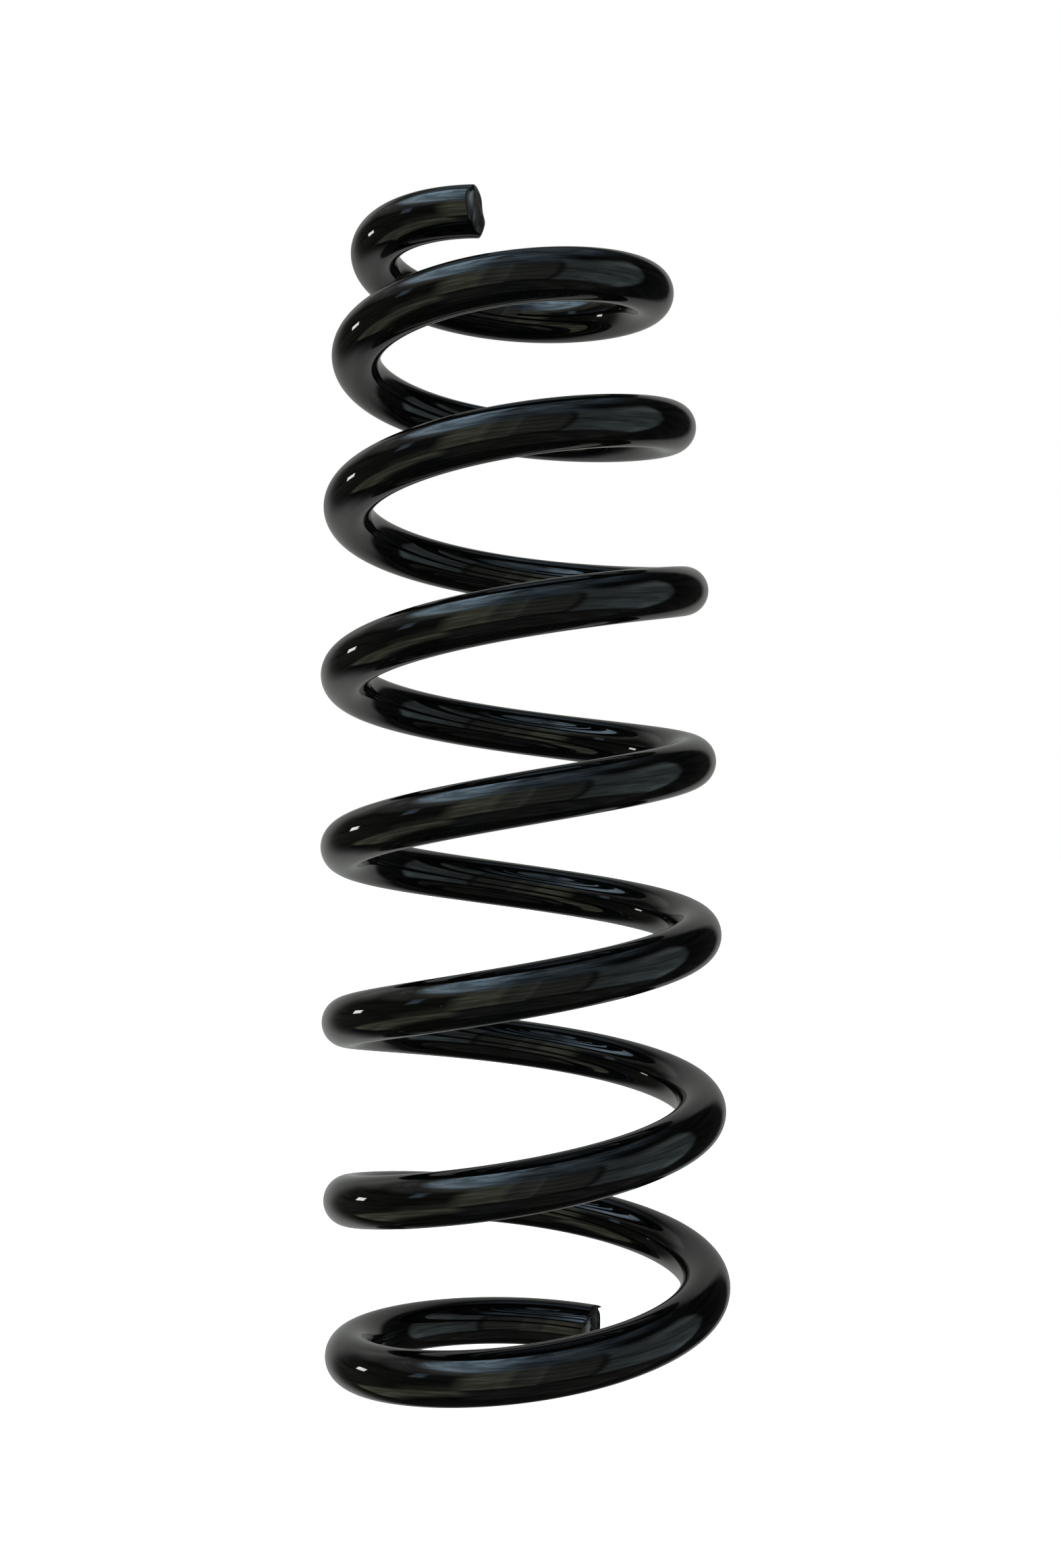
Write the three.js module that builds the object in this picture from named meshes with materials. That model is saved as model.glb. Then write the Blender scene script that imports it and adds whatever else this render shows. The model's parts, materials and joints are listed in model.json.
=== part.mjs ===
// Automotive suspension coil spring: one length of round steel bar, wound right-handed.
//
// Millimetres, +Z up. The origin is on the coil axis, level with the lowest point of the bar,
// and -Y is the front. The spring stands at its free length.
//
// The real spring is a single bar. Here the bar is divided into lengths at upright planes
// through the coil axis, so that each length can slide down past the one before it, which is
// how the coils close when the spring is loaded. The two end coils are whole, because the
// spring seats hold them still.

import * as THREE from "three";

// Bar
const BAR_DIAMETER = 14;
const BAR_SIDES = 12;
const DEGREES_PER_STEP = 10;

// Winding: turns are counted along the bar from its lower end
const TURNS = 7.54;
const LOWER_END_ANGLE = 66.9; // degrees from +X, rising counter-clockwise seen from above

// Mean coil radius: parallel lower down, then drawn in towards the upper end
const COIL_RADIUS = 50.4;
const TAPER_SHARE = 0.311; // how much of the radius is lost at the upper end
const TAPER_TURNS = 1.32; // the taper fades by a factor of e in this many turns
const UPPER_SHIFT = -2.7; // how far along X the drawn-in coils sit off the axis, at the upper end
const SHIFT_TURNS = 1; // the shift fades by a factor of e in this many turns

// Pitch, in millimetres a turn
const LOWER_PITCH = 50.6; // of the working coils, at the lower end
const UPPER_PITCH = 47.2; // of the working coils, at the upper end
const LOWER_END_PITCH = 19.7;
const LOWER_RAMP_TURNS = 1.16; // from the end pitch to the full pitch
const LOWER_RAMP_POWER = 1.3;
const UPPER_END_PITCH = 15.2;
const UPPER_RAMP_TURNS = 2.86;
const UPPER_RAMP_POWER = 2.38;

// The last of the bar, at the upper end, turns in and flattens out
const TIP_TURN_IN = 2.4;
const TURN_IN_TURNS = 0.12;
const TIP_DROP = 3.4;
const DROP_TURNS = 0.25;

// Division into lengths
const SECTOR_ANGLE = 60; // degrees of coil in each working length
const LOWER_COIL_STOP = 300; // winding angle where the lower end coil gives way, degrees
const UPPER_COIL_START = 2520; // winding angle where the upper end coil begins, degrees
const FACE_GAP = 0.36; // between the faces of neighbouring lengths, on the bar's centre line

const UPPER_END_ANGLE = LOWER_END_ANGLE + 360 * TURNS;

// The sectors of a turn, in the order that the bar runs through them
const FIRST_SECTOR_ANGLE = 60;
const SECTORS = ["back", "back_left", "front_left", "front", "front_right", "back_right"];

const toRadians = THREE.MathUtils.degToRad;

/** How much of a ramp is still to come, from 1 at the bar's end to 0 once it is over. */
function rampLeft(turnsFromEnd, rampTurns) {
  return Math.max(0, 1 - turnsFromEnd / rampTurns);
}

/** The height that a ramp has taken off by now: the integral of its loss of pitch. */
function heightLost(pitchLoss, rampTurns, power, left) {
  return (pitchLoss * rampTurns * left ** (power + 1)) / (power + 1);
}

/** Turns of bar from a winding angle in degrees up to the upper end. */
function turnsToTop(angle) {
  return (UPPER_END_ANGLE - angle) / 360;
}

/** Mean coil radius at a winding angle in degrees. */
function coilRadius(angle) {
  const toTop = turnsToTop(angle);
  const turnIn = TIP_TURN_IN * Math.exp(-((toTop / TURN_IN_TURNS) ** 2));
  return COIL_RADIUS * (1 - TAPER_SHARE * Math.exp(-toTop / TAPER_TURNS)) - turnIn;
}

/** How far along X the coil's centre is off the axis at a winding angle in degrees. */
function coilShift(angle) {
  return UPPER_SHIFT * Math.exp(-turnsToTop(angle) / SHIFT_TURNS);
}

/** Height of the bar's centre line at a winding angle in degrees. */
function barHeight(angle) {
  const turns = (angle - LOWER_END_ANGLE) / 360;
  const steady = LOWER_PITCH * turns + ((UPPER_PITCH - LOWER_PITCH) * turns ** 2) / (2 * TURNS);
  const lowerLoss = LOWER_PITCH - LOWER_END_PITCH;
  const lowerLeft = rampLeft(turns, LOWER_RAMP_TURNS);
  const lostLow =
    heightLost(lowerLoss, LOWER_RAMP_TURNS, LOWER_RAMP_POWER, 1) -
    heightLost(lowerLoss, LOWER_RAMP_TURNS, LOWER_RAMP_POWER, lowerLeft);
  const upperLoss = UPPER_PITCH - UPPER_END_PITCH;
  const upperLeft = rampLeft(TURNS - turns, UPPER_RAMP_TURNS);
  const lostHigh = heightLost(upperLoss, UPPER_RAMP_TURNS, UPPER_RAMP_POWER, upperLeft);
  const drop = TIP_DROP * rampLeft(turnsToTop(angle), DROP_TURNS) ** 2;
  return BAR_DIAMETER / 2 + steady - lostLow - lostHigh - drop;
}

/** The centre line of a stretch of the bar. Its sections stand upright and face the coil axis. */
class BarLine extends THREE.Curve {
  constructor(startAngle, endAngle) {
    super();
    this.startAngle = startAngle;
    this.endAngle = endAngle;
  }

  getPoint(t, target = new THREE.Vector3()) {
    const angle = THREE.MathUtils.lerp(this.startAngle, this.endAngle, t);
    const radius = coilRadius(angle);
    const turned = toRadians(angle);
    const x = radius * Math.cos(turned) + coilShift(angle);
    return target.set(x, radius * Math.sin(turned), barHeight(angle));
  }

  computeFrenetFrames(segments) {
    const frames = { tangents: [], normals: [], binormals: [] };
    for (let i = 0; i <= segments; i += 1) {
      const point = this.getPointAt(i / segments);
      const tangent = this.getTangentAt(i / segments);
      const level = Math.hypot(tangent.x, tangent.y);
      frames.tangents.push(tangent);
      frames.normals.push(new THREE.Vector3(point.x, point.y, 0).normalize());
      // An upright cut through a sloping round bar is taller than the bar is thick
      frames.binormals.push(new THREE.Vector3(0, 0, -1 / level));
    }
    return frames;
  }
}

/** Half of the gap between two lengths, as degrees of coil at a winding angle. */
function halfGap(angle) {
  return THREE.MathUtils.radToDeg(FACE_GAP / 2 / coilRadius(angle));
}

/** A named length of the painted bar between two winding angles. */
function barLength(name, startAngle, endAngle) {
  const section = new THREE.Shape();
  section.absarc(0, 0, BAR_DIAMETER / 2, 0, 2 * Math.PI);
  const geometry = new THREE.ExtrudeGeometry(section, {
    steps: Math.ceil((endAngle - startAngle) / DEGREES_PER_STEP),
    curveSegments: BAR_SIDES / 2,
    extrudePath: new BarLine(startAngle, endAngle),
  });
  const paint = new THREE.MeshStandardMaterial({ color: 0x0c0d10, roughness: 0.22, metalness: 0 });
  const mesh = new THREE.Mesh(geometry, paint);
  mesh.name = name;
  return mesh;
}

/** The name of the working length that starts at a winding angle, such as turn_3_front. */
function lengthName(startAngle) {
  const sectorsPerTurn = SECTORS.length;
  const count = Math.round((startAngle - FIRST_SECTOR_ANGLE) / SECTOR_ANGLE);
  const turn = Math.floor(count / sectorsPerTurn) + 1;
  return `turn_${turn}_${SECTORS[count % sectorsPerTurn]}`;
}

const spring = new THREE.Group();

spring.add(
  barLength("lower_end_coil", LOWER_END_ANGLE, LOWER_COIL_STOP - halfGap(LOWER_COIL_STOP)),
);
for (let start = LOWER_COIL_STOP; start < UPPER_COIL_START; start += SECTOR_ANGLE) {
  const end = start + SECTOR_ANGLE;
  spring.add(barLength(lengthName(start), start + halfGap(start), end - halfGap(end)));
}
spring.add(
  barLength("upper_end_coil", UPPER_COIL_START + halfGap(UPPER_COIL_START), UPPER_END_ANGLE),
);

export default spring;
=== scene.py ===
"""Looks of a coil spring for a car's suspension: one round steel bar, wound and painted gloss black.

The bar is made as a run of short pieces, because the frame's bodies slide past each other as the coils
close. Each inner piece is centred on a joint.
Everything is in metres, in the frame's own axes.
"""

import json
import math

import bpy
import numpy as np
from mathutils import Matrix, Vector, noise

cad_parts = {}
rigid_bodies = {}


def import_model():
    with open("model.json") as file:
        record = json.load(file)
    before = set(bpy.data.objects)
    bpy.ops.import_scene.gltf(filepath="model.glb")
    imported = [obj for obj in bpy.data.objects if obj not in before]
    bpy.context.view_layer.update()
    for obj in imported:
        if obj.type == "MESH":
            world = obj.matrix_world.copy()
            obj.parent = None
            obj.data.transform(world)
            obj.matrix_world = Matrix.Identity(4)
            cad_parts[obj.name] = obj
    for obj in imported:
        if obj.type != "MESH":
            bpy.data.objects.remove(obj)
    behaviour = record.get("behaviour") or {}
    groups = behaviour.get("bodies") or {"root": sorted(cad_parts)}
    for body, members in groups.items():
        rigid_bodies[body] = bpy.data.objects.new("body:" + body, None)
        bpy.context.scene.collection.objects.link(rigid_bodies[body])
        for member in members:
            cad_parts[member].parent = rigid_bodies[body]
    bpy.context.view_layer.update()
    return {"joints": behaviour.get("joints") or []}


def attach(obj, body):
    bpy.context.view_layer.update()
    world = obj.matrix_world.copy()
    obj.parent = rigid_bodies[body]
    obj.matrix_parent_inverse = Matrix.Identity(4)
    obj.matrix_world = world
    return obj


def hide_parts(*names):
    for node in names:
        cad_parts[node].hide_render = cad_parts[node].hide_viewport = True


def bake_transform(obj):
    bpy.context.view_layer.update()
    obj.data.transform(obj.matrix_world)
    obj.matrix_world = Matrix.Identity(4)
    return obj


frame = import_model()

# ---------------------------------------------------------------- the bar's line, as in the CAD

BAR_RADIUS = 0.007
TURNS = 7.54
LOWER_END_ANGLE = 66.9
UPPER_END_ANGLE = LOWER_END_ANGLE + 360 * TURNS
COIL_RADIUS = 0.0504
TAPER_SHARE = 0.311
TAPER_TURNS = 1.32
UPPER_SHIFT = -0.0027
SHIFT_TURNS = 1.0
LOWER_PITCH = 0.0506
UPPER_PITCH = 0.0472
LOWER_END_PITCH = 0.0197
LOWER_RAMP_TURNS = 1.16
LOWER_RAMP_POWER = 1.3
UPPER_END_PITCH = 0.0152
UPPER_RAMP_TURNS = 2.86
UPPER_RAMP_POWER = 2.38
TIP_TURN_IN = 0.0024
TURN_IN_TURNS = 0.12
TIP_DROP = 0.0034
DROP_TURNS = 0.25

FIRST_JOINT = 300.0  # winding angle of the first joint, in degrees
SECTOR = 60.0  # winding angle between joints, in degrees


def coil_radius(angle):
    to_top = (UPPER_END_ANGLE - angle) / 360
    turn_in = TIP_TURN_IN * np.exp(-((to_top / TURN_IN_TURNS) ** 2))
    return COIL_RADIUS * (1 - TAPER_SHARE * np.exp(-to_top / TAPER_TURNS)) - turn_in


def coil_shift(angle):
    return UPPER_SHIFT * np.exp(-(UPPER_END_ANGLE - angle) / 360 / SHIFT_TURNS)


def ramp_height(loss, turns, power, left):
    return loss * turns * np.maximum(0, left) ** (power + 1) / (power + 1)


def bar_height(angle):
    u = (angle - LOWER_END_ANGLE) / 360
    steady = LOWER_PITCH * u + (UPPER_PITCH - LOWER_PITCH) * u**2 / (2 * TURNS)
    low = (LOWER_PITCH - LOWER_END_PITCH, LOWER_RAMP_TURNS, LOWER_RAMP_POWER)
    high = (UPPER_PITCH - UPPER_END_PITCH, UPPER_RAMP_TURNS, UPPER_RAMP_POWER)
    lost_low = ramp_height(*low, 1.0) - ramp_height(*low, 1 - u / LOWER_RAMP_TURNS)
    lost_high = ramp_height(*high, 1 - (TURNS - u) / UPPER_RAMP_TURNS)
    drop = TIP_DROP * np.maximum(0, 1 - (TURNS - u) / DROP_TURNS) ** 2
    return BAR_RADIUS + steady - lost_low - lost_high - drop


def line_speed(angle):
    """Metres of bar, and of height, in one degree of winding."""
    step = 0.05
    a, b = angle - step, angle + step
    radius = coil_radius(angle)
    rise = (bar_height(b) - bar_height(a)) / (2 * step)
    draw = (coil_radius(b) - coil_radius(a)) / (2 * step)
    round_the_axis = radius * math.pi / 180
    return np.sqrt(rise**2 + draw**2 + round_the_axis**2), rise


TABLE_ANGLES = np.linspace(LOWER_END_ANGLE - 5, UPPER_END_ANGLE + 5, 20001)
SPEEDS = line_speed(TABLE_ANGLES)[0]
TABLE_LENGTHS = np.concatenate([[0], np.cumsum((SPEEDS[1:] + SPEEDS[:-1]) / 2 * np.diff(TABLE_ANGLES))])
TABLE_LENGTHS -= np.interp(LOWER_END_ANGLE, TABLE_ANGLES, TABLE_LENGTHS)


def length_at(angle):
    return np.interp(angle, TABLE_ANGLES, TABLE_LENGTHS)


def angle_at(length):
    return np.interp(length, TABLE_LENGTHS, TABLE_ANGLES)


def in_space(bar):
    """Puts points of the straightened bar in the row frame.

    A straightened point is (length from the lower end, out from the coil's axis, up).
    """
    angle = angle_at(bar[..., 0])
    speed, rise = line_speed(angle)
    turn = np.radians(angle)
    radius = coil_radius(angle) + bar[..., 1]
    upright = 1 / np.sqrt(1 - (rise / speed) ** 2)
    height = bar_height(angle) + bar[..., 2] * upright
    return np.stack([radius * np.cos(turn) + coil_shift(angle), radius * np.sin(turn), height], -1)


# ---------------------------------------------------------------- mesh pieces

AROUND = 64
STEP = 2.0  # degrees of winding from ring to ring


ANGLES_AROUND = np.linspace(0, 2 * math.pi, AROUND, endpoint=False)


def ring(length):
    out, up = np.cos(ANGLES_AROUND), np.sin(ANGLES_AROUND)
    return np.stack([np.full(AROUND, length), BAR_RADIUS * out, BAR_RADIUS * up], -1)


def skin_normals(bar):
    """True normals of the round bar under points of its straightened skin."""
    d = 1e-5  # step along the bar, in metres
    turn = 1e-3  # step around it, in radians
    a = np.arctan2(bar[:, 2], bar[:, 1])
    r = np.hypot(bar[:, 1], bar[:, 2])
    along = bar * [1, 0, 0]

    def at(length, angle):
        return in_space(along + np.stack([length, r * np.cos(angle), r * np.sin(angle)], -1))

    zero = np.zeros(len(bar))
    round_it = at(zero, a + turn) - at(zero, a - turn)
    down_it = at(zero + d, a) - at(zero - d, a)
    n = np.cross(round_it, down_it)
    n /= np.linalg.norm(n, axis=1)[:, None]
    out = in_space(bar + np.stack([zero, np.cos(a), np.sin(a)], -1) * d) - in_space(bar)
    return n * np.sign((n * out).sum(1))[:, None]


def bar_piece(name, rows, skin, bareness_and_highlight=None):
    """A closed piece from rings of bar points.

    skin says which rings lie on the plain round bar, and the last argument how bare each point is; over 1
    it also paints a pale strip, a painted highlight.
    """
    rows = np.array(rows)
    count, around = rows.shape[:2]
    first = rows[0].mean(0)
    last = rows[-1].mean(0)
    bar = np.concatenate([rows.reshape(-1, 3), [first, last]])
    faces = []
    for k in range(count - 1):
        for i in range(around):
            j = (i + 1) % around
            faces.append((k * around + i, (k + 1) * around + i, (k + 1) * around + j, k * around + j))
    base, top = count * around, count * around + 1
    for i in range(around):
        j = (i + 1) % around
        faces.append((base, i, j))
        faces.append((top, (count - 1) * around + j, (count - 1) * around + i))
    mesh = bpy.data.meshes.new(name)
    mesh.from_pydata(in_space(bar).tolist(), [], faces)
    mesh.polygons.foreach_set("use_smooth", [True] * len(mesh.polygons))
    mesh.validate()
    mesh.update()
    where = mesh.attributes.new("bar", "FLOAT_VECTOR", "POINT")
    where.data.foreach_set("vector", bar.astype(np.float32).ravel())
    cut = mesh.attributes.new("bareness_and_highlight", "FLOAT", "POINT")
    values = np.zeros(count * around) if bareness_and_highlight is None else np.ravel(bareness_and_highlight)
    values = np.concatenate([values, [values[0], values[-1]]])
    cut.data.foreach_set("value", values.astype(np.float32))
    normals = np.array([v.normal for v in mesh.vertices])
    on_skin = np.concatenate([np.repeat(skin, around), [False, False]])
    normals[on_skin] = skin_normals(bar[on_skin])
    mesh.normals_split_custom_set_from_vertices(normals.tolist())
    piece = bpy.data.objects.new(name, mesh)
    bpy.context.scene.collection.objects.link(piece)
    return piece


# ---------------------------------------------------------------- paint


def node(tree, kind, **settings):
    made = tree.nodes.new(kind)
    for key, value in settings.items():
        setattr(made, key, value)
    return made


def calculator(tree):
    """A function that adds a math node to tree and returns its result. It takes sockets and numbers."""

    def calc(kind, *values):
        made = node(tree, "ShaderNodeMath", operation=kind)
        for socket, value in zip(made.inputs, values):
            if isinstance(value, (int, float)):
                socket.default_value = value
            else:
                tree.links.new(value, socket)
        return made.outputs["Value"]

    return calc


def remapper(tree):
    """A function that adds a node to tree which maps a..b to c..d, clamped."""

    def remap(value, a, b, c, d, kind="SMOOTHSTEP"):
        made = node(tree, "ShaderNodeMapRange", interpolation_type=kind)
        for key, number in zip(("From Min", "From Max", "To Min", "To Max"), (a, b, c, d)):
            made.inputs[key].default_value = number
        tree.links.new(value, made.inputs["Value"])
        return made.outputs["Result"]

    return remap


def gloss_black():
    material = bpy.data.materials.new("gloss_black_paint")
    material.use_nodes = True
    tree = material.node_tree
    link = tree.links.new
    paint = tree.nodes["Principled BSDF"]
    paint.inputs["Metallic"].default_value = 0.0
    paint.inputs["IOR"].default_value = 1.5

    where = node(tree, "ShaderNodeAttribute", attribute_name="bar")
    bareness_and_highlight = node(tree, "ShaderNodeAttribute", attribute_name="bareness_and_highlight").outputs["Fac"]
    calc, remap = calculator(tree), remapper(tree)

    def stretched(x, y, z):
        mapping = node(tree, "ShaderNodeMapping")
        mapping.inputs["Scale"].default_value = (x, y, z)
        link(where.outputs["Vector"], mapping.inputs["Vector"])
        return mapping.outputs["Vector"]

    def fog(vector, scale, detail=2.0, rough=0.5):
        made = node(tree, "ShaderNodeTexNoise")
        made.inputs["Scale"].default_value = scale
        made.inputs["Detail"].default_value = detail
        made.inputs["Roughness"].default_value = rough
        link(vector, made.inputs["Vector"])
        return made.outputs["Fac"]

    def mix(a, b, share):
        made = node(tree, "ShaderNodeMix", data_type="RGBA")
        for key, value in ((6, a), (7, b)):
            if isinstance(value, tuple):
                made.inputs[key].default_value = value
            else:
                link(value, made.inputs[key])
        link(share, made.inputs[0])
        return made.outputs[2]

    plain = stretched(1, 1, 1)
    drawn = stretched(0.05, 1, 1)

    # colour: near black, browner and bluer by place, greyer where the bar was sheared, and palest on strips
    # of the cut faces: a painted highlight on bare steel
    patch = remap(fog(plain, 60.0, 3.0), 0.4, 0.6, 0.0, 1.0)
    body = mix((0.0007, 0.0008, 0.0010, 1), (0.0016, 0.0014, 0.0012, 1), patch)
    grain = remap(fog(plain, 900.0, 3.0), 0.45, 0.62, 0.0, 1.0)
    torn = mix((0.003, 0.0035, 0.0035, 1), (0.022, 0.023, 0.022, 1), grain)
    # over 1 the cut faces turn pale grey: a painted highlight laid on the bare steel
    bared_and_highlight = mix(torn, (0.2, 0.21, 0.2, 1), remap(bareness_and_highlight, 1.0, 2.0, 0.0, 1.0, "LINEAR"))
    colour = mix(body, bared_and_highlight, remap(bareness_and_highlight, 0.0, 1.0, 0.0, 1.0, "LINEAR"))

    # dust: fine pale specks, thicker on some stretches than on others
    specks = node(tree, "ShaderNodeTexVoronoi")
    specks.inputs["Scale"].default_value = 260.0
    link(plain, specks.inputs["Vector"])
    speck = remap(specks.outputs["Distance"], 0.04, 0.08, 1.0, 0.0)
    thick = remap(fog(plain, 45.0, 2.0), 0.6, 0.75, 0.0, 0.8)
    dust = calc("MULTIPLY", speck, thick)
    dusty = mix(colour, (0.045, 0.046, 0.044, 1), calc("MULTIPLY", dust, 0.6))
    link(dusty, paint.inputs["Base Color"])

    # cavities in the torn steel swallow some of the reflected light
    link(remap(bareness_and_highlight, 0.0, 1.0, 0.5, 0.03), paint.inputs["Specular IOR Level"])

    # roughness: a high gloss, duller in faint wiped streaks, dull where the bar was sheared
    streak = remap(fog(drawn, 350.0, 3.0), 0.5, 0.75, 0.03, 0.07)
    film = remap(fog(plain, 90.0, 4.0), 0.45, 0.8, 0.0, 0.04)
    gloss = calc("ADD", streak, film)
    dull = calc("ADD", gloss, calc("MULTIPLY", bareness_and_highlight, 0.26))
    link(calc("ADD", dull, calc("MULTIPLY", dust, 0.25)), paint.inputs["Roughness"])

    # relief: marks drawn along the bar, orange peel, dust nibs, torn steel
    def bump(height, distance, below=None):
        made = node(tree, "ShaderNodeBump")
        made.inputs["Distance"].default_value = distance
        link(height, made.inputs["Height"])
        if below is not None:
            link(below, made.inputs["Normal"])
        return made.outputs["Normal"]

    relief = bump(fog(drawn, 170.0, 1.0), 0.000012)
    relief = bump(fog(plain, 240.0, 0.0), 0.000004, relief)
    relief = bump(dust, 0.000012, relief)
    tear = calc("MULTIPLY", fog(plain, 1500.0, 3.0, 0.6), bareness_and_highlight)
    relief = bump(tear, 0.00022, relief)
    link(relief, paint.inputs["Normal"])
    return material


PAINT = gloss_black()


def finished(piece, *nodes):
    piece.data.materials.append(PAINT)
    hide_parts(*nodes)
    return piece


# ---------------------------------------------------------------- the bar, from end to end

CHAIN = [j["parent"] for j in frame["joints"]] + [frame["joints"][-1]["child"]]
JOINTS = [FIRST_JOINT + SECTOR * k for k in range(len(frame["joints"]))]


def plain_rings(start, stop):
    steps = max(1, round((stop - start) / STEP))
    return [ring(length_at(angle)) for angle in np.linspace(start, stop, steps + 1)]


APPROACH = (6.0, 5.0, 4.2, 3.5, 2.9, 2.4, 2.0, 1.7)  # rings back from a sheared face, in millimetres
RIM_RINGS = 9
FACE_RINGS = 24
RIM_SHARE = 0.35  # how much of the face's relief its rim has already
RIM_BARE = 0.7  # how bare the rim is where the face starts


def end_rings(end, inward, relief, lip, torn, rough):
    """Rings over the last stretch of bar and its sheared face, ending at the face's middle.

    end is the bar's length at the end, and inward is +1 or -1, the way back along the bar. relief gives the
    face's height over (out, up) in radii, lip the roundness of its rim by angle, torn how bare it is (over
    1 it paints a pale strip, a painted highlight) and rough the size of its tears, in metres.
    """
    rim_relief = np.array([relief(math.cos(t), math.sin(t)) for t in ANGLES_AROUND])
    rows, bareness_and_highlight = [], []
    for d in APPROACH:
        fade = (1 - d / APPROACH[0]) ** 2
        row = ring(end + inward * d * 0.001)
        row[:, 0] -= inward * (rim_relief * fade * RIM_SHARE)
        rows.append(row)
        bareness_and_highlight.append(np.zeros(AROUND))
    roll = np.array([lip(t) for t in ANGLES_AROUND])
    last, half = RIM_RINGS - 1, (RIM_RINGS - 1) // 2
    for k in range(RIM_RINGS):
        q = k / last * math.pi / 2
        back = roll * (1 - math.sin(q))
        shrink = roll * (1 - math.cos(q))
        height = rim_relief * (RIM_SHARE + (1 - RIM_SHARE) * (k / last))
        row = ring(end)
        row[:, 0] += inward * (back - height)
        row[:, 1:] *= (1 - shrink / BAR_RADIUS)[:, None]
        rows.append(row)
        bareness_and_highlight.append(np.full(AROUND, max(0, k - half) / half * RIM_BARE))
    outer = rows[-1].copy()
    for k in range(1, FACE_RINGS + 1):
        row = outer.copy()
        row[:, 1:] = outer[:, 1:] * (1 - k / (FACE_RINGS + 1))
        face_bareness_and_highlight = np.zeros(AROUND)
        for i in range(AROUND):
            x, y = row[i, 1:] / BAR_RADIUS
            grain = noise.fractal(Vector((x * 3.5, y * 2.2, end * 40)), 0.7, 2.2, 5) * rough
            row[i, 0] = end - inward * (relief(x, y) + grain * min(1, k / 3))
            # how bare the face is here; over 1 it marks a pale strip of painted highlight
            face_bareness_and_highlight[i] = torn(x, y) * min(1.0, RIM_BARE + 0.15 * k)
        rows.append(row)
        bareness_and_highlight.append(face_bareness_and_highlight)
    return rows, bareness_and_highlight


def hill(x, y, cx, cy, wx, wy):
    """A smooth bump of height 1 at (cx, cy), wx wide and wy tall."""
    return math.exp(-(((x - cx) / wx) ** 2) - ((y - cy) / wy) ** 2)


def lower_face(x, y):
    """Rough break: cut back and ledged along the inner rim, with a notch and a burr at the top."""
    return 0.001 * (
        -0.8 * hill(x, y, 0.95, -0.1, 0.5, 0.8)
        - 1.9 * hill(x, y, -1.05, -0.25, 0.35, 0.7)
        + 0.8 * hill(x, y, -0.66, 0.25, 0.13, 0.5)
        - 0.8 * hill(x, y, -0.3, 0.25, 0.22, 0.4)
        + 1.6 * hill(x, y, 0.38, 0.94, 0.2, 0.13)
        - 0.9 * hill(x, y, 0.66, 0.6, 0.2, 0.16)
    )


def upper_face(x, y):
    """Shorn and thickly painted: scooped out on the outer side, swollen on the inner side, a beak below."""
    return 0.001 * (
        -0.4
        - 2.0 * hill(x, y, 1.05, 0.28, 0.32, 0.6)
        - 1.0 * hill(x, y, 0.8, -0.75, 0.34, 0.42)
        + 0.95 * hill(x, y, -0.75, -0.12, 0.55, 0.36)
        + 0.35 * hill(x, y, -0.7, 0.8, 0.5, 0.3)
        - 0.5 * hill(x, y, -0.5, -0.85, 0.5, 0.24)
        + 0.9 * hill(x, y, 0.1, -1.0, 0.22, 0.1)
    )


# how bare the lower cut face is; over 1, on the ledge by the inner rim and faintly in the middle, it paints
# a painted highlight
def lower_bareness_and_highlight(x, y):
    return 1 + 0.6 * hill(x, y, -0.72, 0.25, 0.12, 0.5) + 0.2 * hill(x, y, 0.25, 0.3, 0.25, 0.4)


# how bare the upper cut face is; over 1, on a strip by the outer rim and a spot lower down, it paints a
# painted highlight
def upper_bareness_and_highlight(x, y):
    return 0.95 + 1.0 * hill(x, y, 0.74, 0.4, 0.16, 0.45) + 0.5 * hill(x, y, 0.5, -0.35, 0.1, 0.3)


def lower_lip(t):
    return 0.00025 + 0.00025 * (0.5 + 0.5 * math.cos(t + 0.4))


def upper_lip(t):
    return 0.00045 + 0.0005 * max(0.0, math.sin(t)) ** 2


BAR_LENGTH = float(length_at(UPPER_END_ANGLE))
END_STRETCH = 0.007  # bar at each end that end_rings makes

end_rows, end_bareness_and_highlight = end_rings(0.0, 1, lower_face, lower_lip, lower_bareness_and_highlight, 0.0005)
end_rows, end_bareness_and_highlight = end_rows[::-1], end_bareness_and_highlight[::-1]
stem = plain_rings(float(angle_at(END_STRETCH)), JOINTS[0] - SECTOR / 2)
lower = bar_piece(
    "lower_end",
    end_rows + stem,
    np.array([False] * len(end_rows) + [True] * len(stem)),
    end_bareness_and_highlight + [np.zeros(AROUND)] * len(stem),
)
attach(finished(lower, CHAIN[0]), CHAIN[0])

for k, middle in enumerate(JOINTS):
    rows = plain_rings(middle - SECTOR / 2, middle + SECTOR / 2)
    piece = bar_piece(f"bar_{k + 1:02d}", rows, np.array([True] * len(rows)))
    finished(piece, CHAIN[k + 1])
    turn = math.radians(middle)
    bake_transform(piece)

end_rows, end_bareness_and_highlight = end_rings(BAR_LENGTH, -1, upper_face, upper_lip, upper_bareness_and_highlight, 0.0001)
stem = plain_rings(JOINTS[-1] + SECTOR / 2, float(angle_at(BAR_LENGTH - END_STRETCH)))
upper = bar_piece(
    "upper_end",
    stem + end_rows,
    np.array([True] * len(stem) + [False] * len(end_rows)),
    [np.zeros(AROUND)] * len(stem) + end_bareness_and_highlight,
)
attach(finished(upper, CHAIN[-1]), CHAIN[-1])

# ---------------------------------------------------------------- studio


def towards(azimuth, elevation):
    """Direction from the spring: azimuth 0 is to the front, 90 to the right."""
    a, e = math.radians(azimuth), math.radians(elevation)
    return Vector((math.sin(a) * math.cos(e), -math.cos(a) * math.cos(e), math.sin(e)))


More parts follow.
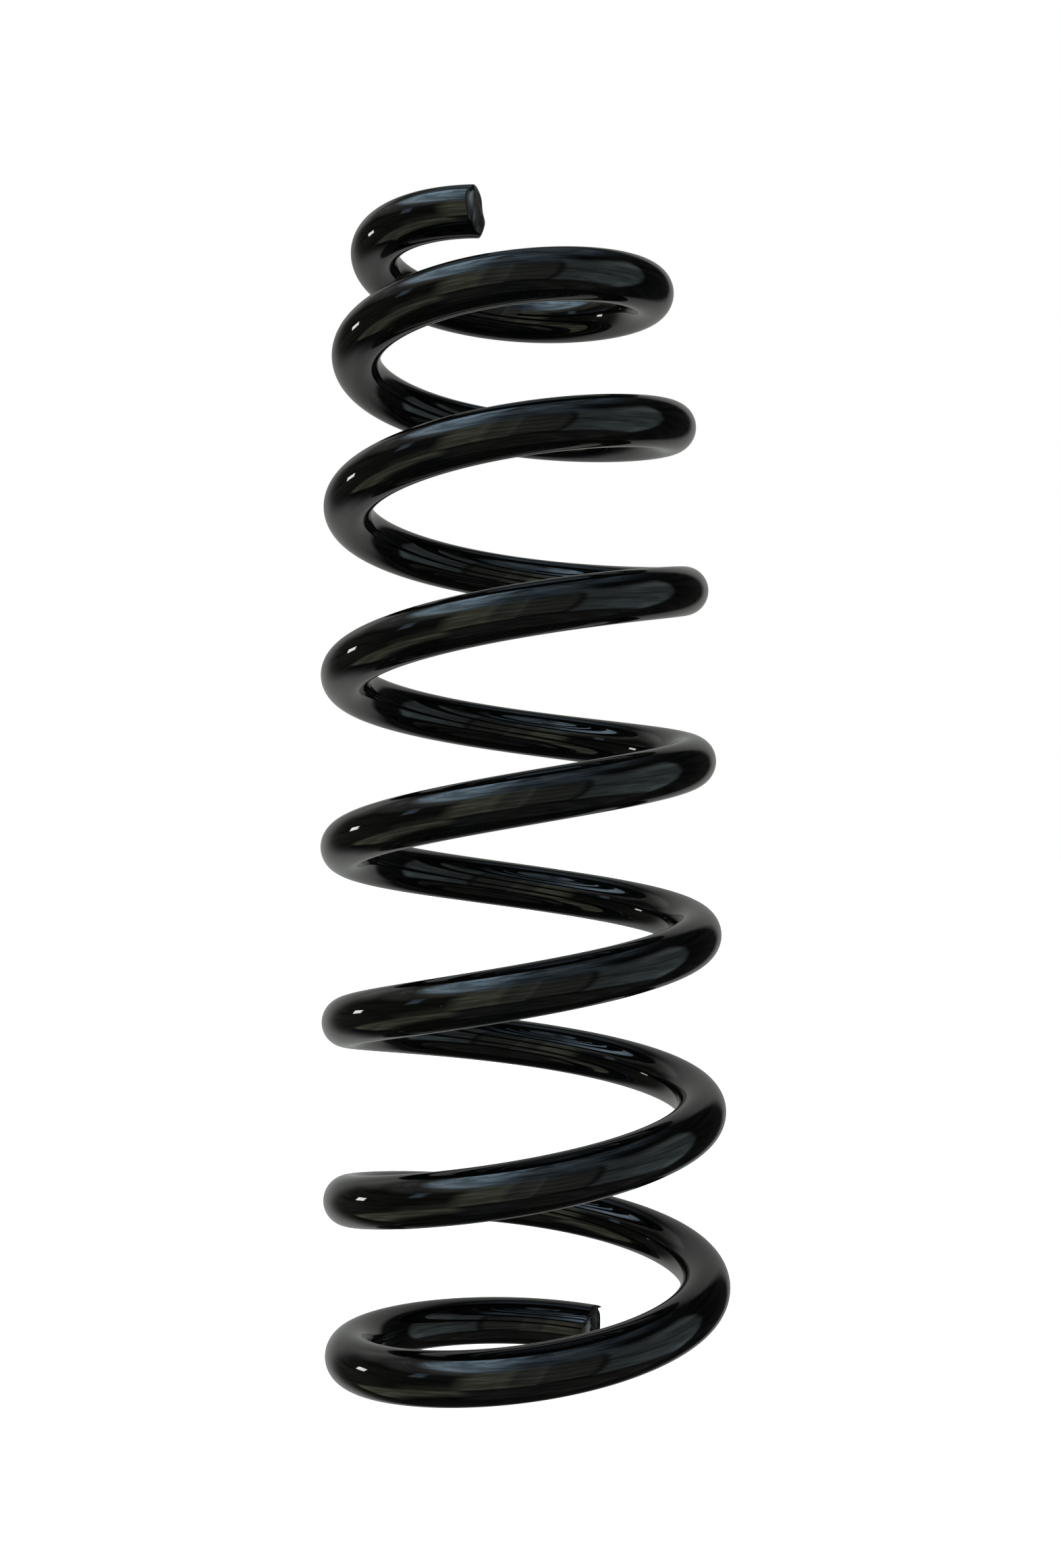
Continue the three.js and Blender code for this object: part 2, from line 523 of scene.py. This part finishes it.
# one lamp to the left of the spring and a little behind its side, which every coil's left bend mirrors
LAMP_AZIMUTH, LAMP_ELEVATION = -105, 3  # degrees, seen from the spring's middle
LAMP_DISTANCE = 2.2
LAMP_WIDE, LAMP_TALL = 0.3, 0.25
LAMP_RADIANCE = 10

aim = Vector((0, 0, 0.17))
toward_lamp = towards(LAMP_AZIMUTH, LAMP_ELEVATION)
light = bpy.data.lights.new("lamp", "AREA")
light.shape = "RECTANGLE"
light.size = LAMP_WIDE
light.size_y = LAMP_TALL
light.color = (1.0, 0.98, 0.94)
light.energy = LAMP_RADIANCE * math.pi * LAMP_WIDE * LAMP_TALL
lamp = bpy.data.objects.new("lamp", light)
lamp.location = aim + toward_lamp * LAMP_DISTANCE
lamp.rotation_euler = toward_lamp.to_track_quat("Z", "Y").to_euler()
lamp.visible_camera = False
bpy.context.scene.collection.objects.link(lamp)

world = bpy.data.worlds.new("studio")
bpy.context.scene.world = world
world.use_nodes = True
tree = world.node_tree
link = tree.links.new
background = tree.nodes["Background"]
direction = node(tree, "ShaderNodeTexCoord")
split = node(tree, "ShaderNodeSeparateXYZ")
link(direction.outputs["Generated"], split.inputs[0])


calc, remap = calculator(tree), remapper(tree)


def step_up(value, low, high):
    return remap(value, low, high, 0.0, 1.0)


def window(value, low, high, soft_low, soft_high):
    rise = step_up(value, low - soft_low / 2, low + soft_low / 2)
    fall = calc("SUBTRACT", 1.0, step_up(value, high - soft_high / 2, high + soft_high / 2))
    return calc("MULTIPLY", rise, fall)


x, y, z = split.outputs
azimuth = calc("MULTIPLY", calc("ARCTAN2", x, calc("MULTIPLY", y, -1.0)), 180 / math.pi)
elevation = calc("MULTIPLY", calc("ARCSINE", z), 180 / math.pi)
spread = node(tree, "ShaderNodeCombineXYZ")
link(calc("MULTIPLY", azimuth, 1 / 40), spread.inputs[0])
link(calc("MULTIPLY", calc("ADD", elevation, calc("MULTIPLY", azimuth, 0.15)), 1 / 9), spread.inputs[1])
cloud = node(tree, "ShaderNodeTexNoise")
cloud.inputs["Scale"].default_value = 1.0
cloud.inputs["Detail"].default_value = 4.0
cloud.inputs["Roughness"].default_value = 0.6
link(spread.outputs[0], cloud.inputs["Vector"])
uneven = calc("ADD", calc("MULTIPLY", step_up(cloud.outputs["Fac"], 0.38, 0.62), 0.75), 0.6)

room = []  # what lights the spring from all round, added up below


def add_light(share, colour):
    made = node(tree, "ShaderNodeVectorMath", operation="SCALE")
    made.inputs[0].default_value = colour
    link(share, made.inputs["Scale"])
    room.append(made.outputs[0])


def panel(azimuths, elevations, radiance, colour, soft, slope=0.0, streaky=True):
    """A soft-edged bright area seen round the spring, between two azimuths and two elevations.

    soft is how wide its left, right, lower and upper edges are. slope tilts it about its first azimuth: how
    far it goes down for each degree to the right. All angles are in degrees.
    """
    level = calc("ADD", elevation, calc("MULTIPLY", calc("SUBTRACT", azimuth, azimuths[0]), slope))
    share = calc("MULTIPLY", window(azimuth, *azimuths, *soft[:2]), window(level, *elevations, *soft[2:]))
    if streaky:
        share = calc("MULTIPLY", share, uneven)
    add_light(calc("MULTIPLY", share, radiance), colour)


SKY = (0.72, 1.0, 1.24)
COOL = (0.84, 1.0, 1.04)
OLIVE = (0.98, 1.0, 0.72)
GREY = (0.97, 1.0, 0.95)
panel((-108, -25), (51, 91), 2.1, SKY, (30, 40, 9, 28), 0.25)
panel((-120, -40), (38, 62), 0.35, GREY, (12, 12, 16, 20), 0.2)
panel((-18, 50), (33, 84), 0.38, SKY, (12, 34, 14, 16))
panel((-200, 200), (58, 100), 0.25, SKY, (4, 4, 16, 4))
panel((-38, -12), (-32, 30), 0.72, OLIVE, (15, 9, 8, 12))
panel((-14, 7), (-34, 34), 0.4, (0.95, 1.0, 0.82), (9, 4, 8, 10))
panel((6, 38), (-31, 31), 0.28, (0.92, 1.0, 0.86), (6, 8, 8, 10))
panel((42, 106), (-34, 38), 0.36, COOL, (6, 7, 8, 14))
panel((62, 104), (-34, -9), 0.24, (0.7, 1.0, 1.05), (14, 12, 8, 16))
panel((70, 102), (12, 40), 0.17, COOL, (14, 10, 10, 14))
panel((-117, -38), (-51, -31), 0.47, OLIVE, (5, 14, 20, 7))
panel((-74, -40), (-46, -16), 0.15, OLIVE, (14, 8, 20, 14))
panel((-128, -44), (-30, 34), 0.04, OLIVE, (6, 6, 8, 8))
panel((-71, -62), (12, 25), 0.6, SKY, (4, 4, 6, 6))
panel((-50, 110), (-80, -38), 0.08, GREY, (20, 20, 20, 12))
panel((-200, -134), (-42, 45), 0.31, GREY, (1, 26, 16, 18), streaky=False)
panel((-168, -141), (-42, 3), 0.11, GREY, (24, 20, 18, 20), streaky=False)
panel((-150, -118), (26, 50), 0.2, GREY, (10, 16, 12, 14), streaky=False)
panel((148, 200), (-42, 45), 0.31, GREY, (12, 1, 16, 18), streaky=False)
add_light(calc("MULTIPLY", uneven, 0.025), GREY)

light_sum = room[0]
for source in room[1:]:
    both = node(tree, "ShaderNodeVectorMath", operation="ADD")
    link(light_sum, both.inputs[0])
    link(source, both.inputs[1])
    light_sum = both.outputs[0]

# the camera sees plain white behind the spring, and only the paint mirrors the room
path = node(tree, "ShaderNodeLightPath")
seen = node(tree, "ShaderNodeMix", data_type="RGBA")
link(path.outputs["Is Camera Ray"], seen.inputs[0])
link(light_sum, seen.inputs[6])
seen.inputs[7].default_value = (1, 1, 1, 1)
link(seen.outputs[2], background.inputs["Color"])

REACH = 12.0  # half the floor's width
corners = [(-REACH, -REACH, 0), (REACH, -REACH, 0), (REACH, REACH, 0), (-REACH, REACH, 0)]
floor_mesh = bpy.data.meshes.new("floor")
floor_mesh.from_pydata(corners, [], [(0, 1, 2, 3)])
floor = bpy.data.objects.new("floor", floor_mesh)
bpy.context.scene.collection.objects.link(floor)
floor_material = bpy.data.materials.new("white_floor")
floor_material.use_nodes = True
white = floor_material.node_tree.nodes["Principled BSDF"]
white.inputs["Base Color"].default_value = (0.9, 0.9, 0.9, 1)
white.inputs["Roughness"].default_value = 1.0
white.inputs["Specular IOR Level"].default_value = 0.0
white.inputs["Emission Color"].default_value = (1, 1, 1, 1)
white.inputs["Emission Strength"].default_value = 1.0
floor_mesh.materials.append(floor_material)
floor.visible_glossy = False

# ---------------------------------------------------------------- camera

CAMERA_PLACE = (0.0094, -0.4803, 0.1564)
YAW, TILT, ROLL = -0.726, 2.205, -0.974  # degrees

camera_data = bpy.data.cameras.new("camera")
camera_data.sensor_width = 36.0
camera_data.lens = 38.42
camera_data.clip_start = 0.01
camera = bpy.data.objects.new("camera", camera_data)
bpy.context.scene.collection.objects.link(camera)
yaw, tilt, roll = math.radians(YAW), math.radians(TILT), math.radians(ROLL)
ahead = Vector((math.sin(yaw) * math.cos(tilt), math.cos(yaw) * math.cos(tilt), math.sin(tilt)))
level = Vector((math.cos(yaw), -math.sin(yaw), 0))
upward = level.cross(ahead)
right = math.cos(roll) * level + math.sin(roll) * upward
upward = -math.sin(roll) * level + math.cos(roll) * upward
turn = Matrix((right, upward, -ahead)).transposed()
camera.matrix_world = Matrix.Translation(CAMERA_PLACE) @ turn.to_4x4()
bpy.context.scene.camera = camera

bpy.context.scene.view_settings.view_transform = "Standard"

bpy.context.view_layer.update()
